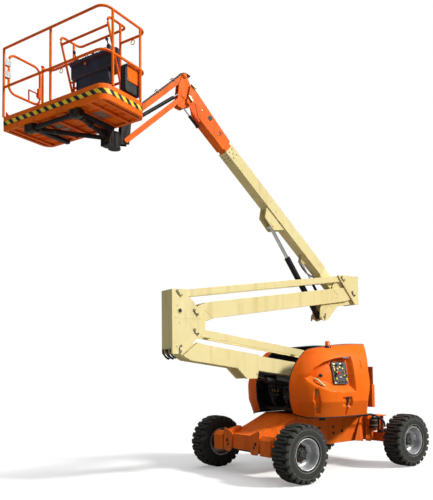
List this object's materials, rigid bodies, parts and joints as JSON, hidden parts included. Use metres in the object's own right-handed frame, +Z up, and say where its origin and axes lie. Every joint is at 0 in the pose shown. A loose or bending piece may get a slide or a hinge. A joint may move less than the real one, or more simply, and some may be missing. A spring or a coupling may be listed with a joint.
{
  "type": "articulating boom lift",
  "caption": "Self-propelled articulating boom lift with wheeled chassis, turntable and hoods, folding tower, telescoping main boom, jib and guarded platform.",
  "frame": {"origin": "on the ground, under the middle of the machine's overall length, on its middle plane", "axes": "+Z up, +X along the machine towards the steered axle and away from the platform, +Y to the far side"},
  "size_m": [6.362, 2.347, 6.2149],
  "materials": {
    "orange_paint": "gloss paint",
    "cream_paint": "gloss paint",
    "black_paint": "satin paint",
    "rim_paint": "satin silver paint",
    "navy_plastic": "satin",
    "amber_lens": "clear gloss",
    "chrome": "polished",
    "grey_steel": "galvanised",
    "tyre_rubber": "matte",
    "counterweight_iron": "gloss paint",
    "machinery_block": "dark satin"
  },
  "bodies": {
    "chassis": {"chassis_frame": "orange_paint", "drive_axle": "black_paint", "steer_axle": "orange_paint", "slew_ring": "black_paint", "lockout_cylinder_near": "black_paint", "lockout_cylinder_far": "black_paint"},
    "turntable": {"turntable_frame": "black_paint", "counterweight": "counterweight_iron", "engine_block": "machinery_block", "battery_tank_block": "machinery_block"},
    "hood_near": {"hood_near": "orange_paint", "beacon": "amber_lens"},
    "hood_far": {"hood_far": "orange_paint"},
    "knuckle_near": {"knuckle_near": "black_paint"},
    "knuckle_far": {"knuckle_far": "black_paint"},
    "tie_rod": {"tie_rod": "grey_steel"},
    "wheel_drive_near": {"tyre_drive_near": "tyre_rubber", "rim_drive_near": "rim_paint"},
    "wheel_drive_far": {"tyre_drive_far": "tyre_rubber", "rim_drive_far": "rim_paint"},
    "wheel_steer_near": {"tyre_steer_near": "tyre_rubber", "rim_steer_near": "rim_paint"},
    "wheel_steer_far": {"tyre_steer_far": "tyre_rubber", "rim_steer_far": "rim_paint"},
    "lower_arm": {"lower_arm": "cream_paint"},
    "lower_link": {"lower_link": "cream_paint"},
    "tower_upright": {"tower_upright": "cream_paint"},
    "upper_arm": {"upper_arm": "cream_paint"},
    "upper_link": {"upper_link": "cream_paint"},
    "boom_upright": {"boom_upright": "cream_paint"},
    "main_boom": {"boom_base": "cream_paint", "track_carrier": "cream_paint"},
    "fly_boom": {"fly_boom": "orange_paint"},
    "head_bracket": {"head_bracket": "orange_paint"},
    "jib_arm": {"jib_arm": "orange_paint", "jib_cylinder_barrel": "black_paint"},
    "jib_link": {"jib_link_near": "orange_paint", "jib_link_far": "orange_paint"},
    "rotator": {"rotator": "black_paint"},
    "platform": {"platform_floor": "orange_paint", "platform_rails": "orange_paint", "platform_support": "black_paint", "control_console": "navy_plastic", "side_box": "black_paint"},
    "gate": {"gate": "orange_paint"},
    "tower_cylinder_barrel": {"tower_cylinder_barrel": "black_paint"},
    "tower_cylinder_rod": {"tower_cylinder_rod": "chrome"},
    "lift_cylinder_barrel": {"lift_cylinder_barrel": "black_paint"},
    "lift_cylinder_rod": {"lift_cylinder_rod": "chrome"},
    "level_master_barrel": {"level_master_barrel": "black_paint"},
    "level_master_rod": {"level_master_rod": "chrome"},
    "level_slave_barrel": {"level_slave_barrel": "black_paint"},
    "level_slave_rod": {"level_slave_rod": "chrome"},
    "jib_cylinder_rod": {"jib_cylinder_rod": "chrome"}
  },
  "joints": [
    {"name": "slew", "type": "hinge", "parent": "chassis", "child": "turntable", "pos_m": [1.731, 0, 0.95], "axis": [0, 0, 1], "range_deg": [-177.5, 177.5]},
    {"name": "hood_near_hinge", "type": "hinge", "parent": "turntable", "child": "hood_near", "pos_m": [1.731, -0.43, 1.93], "axis": [-1, 0, 0], "range_deg": [0, 70]},
    {"name": "hood_far_hinge", "type": "hinge", "parent": "turntable", "child": "hood_far", "pos_m": [1.731, 0.43, 1.93], "axis": [1, 0, 0], "range_deg": [0, 70]},
    {"name": "steer_near", "type": "hinge", "parent": "chassis", "child": "knuckle_near", "pos_m": [2.761, -0.76, 0.42], "axis": [0, 0, 1], "range_deg": [-38, 38]},
    {"name": "steer_far", "type": "hinge", "parent": "chassis", "child": "knuckle_far", "pos_m": [2.761, 0.76, 0.42], "axis": [0, 0, 1], "range_deg": [-38, 38]},
    {"name": "tie_rod_slide", "type": "slide", "parent": "chassis", "child": "tie_rod", "axis": [0, 1, 0], "range_m": [-0.1125, 0.1125]},
    {"name": "wheel_drive_near_spin", "type": "hinge", "parent": "chassis", "child": "wheel_drive_near", "pos_m": [0.401, -1.0185, 0.42], "axis": [0, 1, 0], "continuous": true},
    {"name": "wheel_drive_far_spin", "type": "hinge", "parent": "chassis", "child": "wheel_drive_far", "pos_m": [0.401, 1.0185, 0.42], "axis": [0, 1, 0], "continuous": true},
    {"name": "wheel_steer_near_spin", "type": "hinge", "parent": "knuckle_near", "child": "wheel_steer_near", "pos_m": [2.761, -1.0185, 0.42], "axis": [0, 1, 0], "continuous": true},
    {"name": "wheel_steer_far_spin", "type": "hinge", "parent": "knuckle_far", "child": "wheel_steer_far", "pos_m": [2.761, 1.0185, 0.42], "axis": [0, 1, 0], "continuous": true},
    {"name": "tower_lift", "type": "hinge", "parent": "turntable", "child": "lower_arm", "pos_m": [2.287, 0, 1.436], "axis": [0, 1, 0], "range_deg": [-6.5, 48]},
    {"name": "lower_link_pivot", "type": "hinge", "parent": "turntable", "child": "lower_link", "pos_m": [2.547, 0, 1.681], "axis": [0, 1, 0], "range_deg": [-6.5, 48]},
    {"name": "tower_upright_pivot", "type": "hinge", "parent": "lower_arm", "child": "tower_upright", "pos_m": [-1.00937, 0, 1.90808], "axis": [0, 1, 0], "range_deg": [-48, 6.5]},
    {"name": "upper_arm_pivot", "type": "hinge", "parent": "tower_upright", "child": "upper_arm", "pos_m": [-0.74937, 0, 2.43592], "axis": [0, 1, 0], "range_deg": [-48, 6.5]},
    {"name": "upper_link_pivot", "type": "hinge", "parent": "tower_upright", "child": "upper_link", "pos_m": [-1.00937, 0, 2.68092], "axis": [0, 1, 0], "range_deg": [-48, 6.5]},
    {"name": "boom_upright_pivot", "type": "hinge", "parent": "upper_arm", "child": "boom_upright", "pos_m": [2.547, 0, 2.908], "axis": [0, 1, 0], "range_deg": [-6.5, 48]},
    {"name": "main_lift", "type": "hinge", "parent": "boom_upright", "child": "main_boom", "pos_m": [2.201, 0, 2.95], "axis": [0, 1, 0], "range_deg": [-35.5, 33.5]},
    {"name": "telescope", "type": "slide", "parent": "main_boom", "child": "fly_boom", "axis": [-0.7513, 0, 0.66], "range_m": [0, 1.4]},
    {"name": "head_level", "type": "hinge", "parent": "fly_boom", "child": "head_bracket", "pos_m": [-0.77842, 0, 5.52222], "axis": [0, 1, 0], "range_deg": [-33.5, 35.5]},
    {"name": "jib_lift", "type": "hinge", "parent": "head_bracket", "child": "jib_arm", "pos_m": [-0.845, 0, 5.894], "axis": [0, -1, 0], "range_deg": [-127.1, 16.9]},
    {"name": "jib_link_pivot", "type": "hinge", "parent": "head_bracket", "child": "jib_link", "pos_m": [-0.882, 0, 5.568], "axis": [0, -1, 0], "range_deg": [-127.1, 16.9]},
    {"name": "rotator_level", "type": "hinge", "parent": "jib_arm", "child": "rotator", "pos_m": [-1.7504, 0, 5.04674], "axis": [0, -1, 0], "range_deg": [-16.9, 127.1]},
    {"name": "platform_rotate", "type": "hinge", "parent": "rotator", "child": "platform", "pos_m": [-1.939, 0, 4.7], "axis": [0, 0, 1], "range_deg": [-111, 69]},
    {"name": "gate_hinge", "type": "hinge", "parent": "platform", "child": "gate", "pos_m": [-3.13699, 0.79575, 5.455], "axis": [0, 0, -1], "range_deg": [0, 85]},
    {"name": "tower_cylinder_pivot", "type": "hinge", "parent": "turntable", "child": "tower_cylinder_barrel", "pos_m": [2.001, 0, 1.14], "axis": [0, 1, 0], "range_deg": [-6.76, 49.87]},
    {"name": "tower_cylinder_stroke", "type": "slide", "parent": "tower_cylinder_barrel", "child": "tower_cylinder_rod", "axis": [-0.9773, 0, 0.2117], "range_m": [-0.04393, 0.32119]},
    {"name": "lift_cylinder_pivot", "type": "hinge", "parent": "boom_upright", "child": "lift_cylinder_barrel", "pos_m": [1.822, 0, 2.471], "axis": [0, 1, 0], "range_deg": [-32.56, 30.73]},
    {"name": "lift_cylinder_stroke", "type": "slide", "parent": "lift_cylinder_barrel", "child": "lift_cylinder_rod", "axis": [-0.5879, 0, 0.8089], "range_m": [-0.34413, 0.32477]},
    {"name": "level_master_pivot", "type": "hinge", "parent": "boom_upright", "child": "level_master_barrel", "pos_m": [1.941, 0, 2.7], "axis": [0, 1, 0], "range_deg": [-33.69, 31.79]},
    {"name": "level_master_stroke", "type": "slide", "parent": "level_master_barrel", "child": "level_master_rod", "axis": [-0.5823, 0, 0.813], "range_m": [-0.20887, 0.19713]},
    {"name": "level_slave_pivot", "type": "hinge", "parent": "fly_boom", "child": "level_slave_barrel", "pos_m": [-0.60255, 0, 5.21332], "axis": [0, 1, 0], "range_deg": [-1.47, 1.56]},
    {"name": "level_slave_stroke", "type": "slide", "parent": "level_slave_barrel", "child": "level_slave_rod", "axis": [-0.7429, 0, 0.6694], "range_m": [-0.06347, 0.06723]},
    {"name": "jib_cylinder_stroke", "type": "slide", "parent": "jib_arm", "child": "jib_cylinder_rod", "axis": [0.7897, 0, 0.6134], "range_m": [-0.07094, 0.53023]}
  ],
  "couplings": [
    {"joint": "steer_far", "follows": "steer_near", "ratio": 1},
    {"joint": "tie_rod_slide", "follows": "steer_near", "m_per_rad": 0.167},
    {"joint": "lower_link_pivot", "follows": "tower_lift", "ratio": 1},
    {"joint": "tower_upright_pivot", "follows": "tower_lift", "ratio": -1},
    {"joint": "upper_arm_pivot", "follows": "tower_lift", "ratio": -1},
    {"joint": "upper_link_pivot", "follows": "tower_lift", "ratio": -1},
    {"joint": "boom_upright_pivot", "follows": "tower_lift", "ratio": 1},
    {"joint": "tower_cylinder_pivot", "follows": "tower_lift", "ratio": 1.0387},
    {"joint": "tower_cylinder_stroke", "follows": "tower_lift", "m_per_rad": 0.3828},
    {"joint": "head_level", "follows": "main_lift", "ratio": -1},
    {"joint": "lift_cylinder_pivot", "follows": "main_lift", "ratio": 0.917},
    {"joint": "lift_cylinder_stroke", "follows": "main_lift", "m_per_rad": 0.5546},
    {"joint": "level_master_pivot", "follows": "main_lift", "ratio": 0.9487},
    {"joint": "level_master_stroke", "follows": "main_lift", "m_per_rad": 0.3363},
    {"joint": "level_slave_pivot", "follows": "main_lift", "ratio": -0.0436},
    {"joint": "level_slave_stroke", "follows": "main_lift", "m_per_rad": -0.1077},
    {"joint": "jib_link_pivot", "follows": "jib_lift", "ratio": 1},
    {"joint": "rotator_level", "follows": "jib_lift", "ratio": -1},
    {"joint": "jib_cylinder_stroke", "follows": "jib_lift", "m_per_rad": -0.2388}
  ]
}
